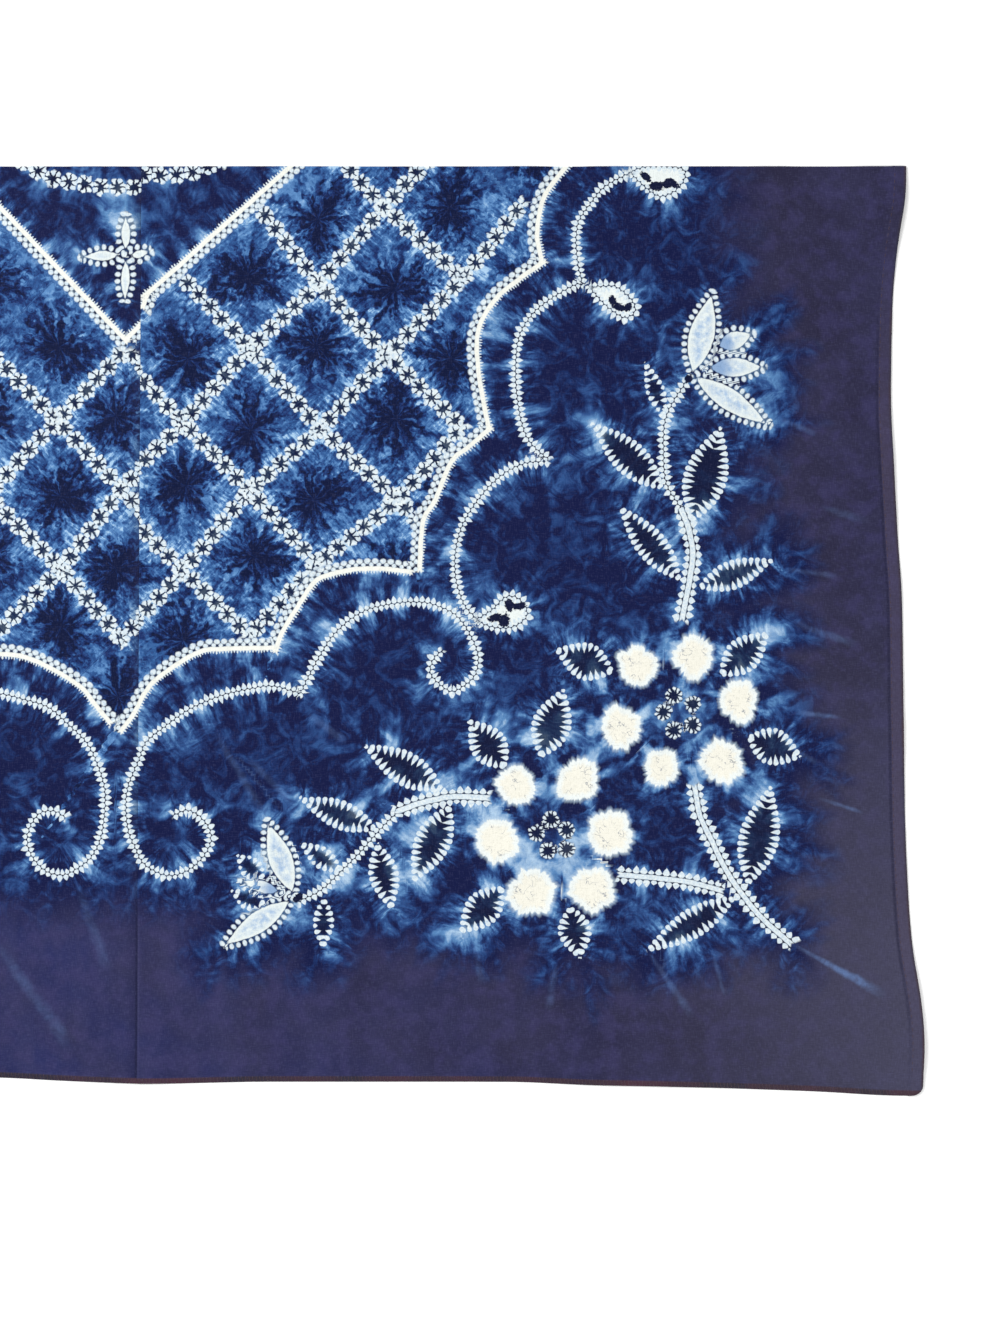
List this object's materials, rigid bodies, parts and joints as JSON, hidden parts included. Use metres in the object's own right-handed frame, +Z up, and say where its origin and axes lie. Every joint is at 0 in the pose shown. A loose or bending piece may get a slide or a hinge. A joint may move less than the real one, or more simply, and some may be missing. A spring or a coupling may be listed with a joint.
{
  "type": "shibori dyed cloth",
  "caption": "Flat hemmed corner length of indigo stitch-resist dyed cotton cloth, with a pressed tuck, a diamond lattice, scrolls, flowers and leaves in white.",
  "frame": {"origin": "on the surface the cloth lies on, under the centre of its bounding box", "axes": "+Z up out of the cloth's face, +Y towards the top cut edge, +X towards the right hem"},
  "size_m": [0.906, 0.892, 0.0058],
  "materials": {
    "indigo_dyed_cotton": "matt plain-weave cotton, deep indigo with white stitched resist lines"
  },
  "bodies": {
    "root": {"cloth": "indigo_dyed_cotton"}
  },
  "joints": []
}
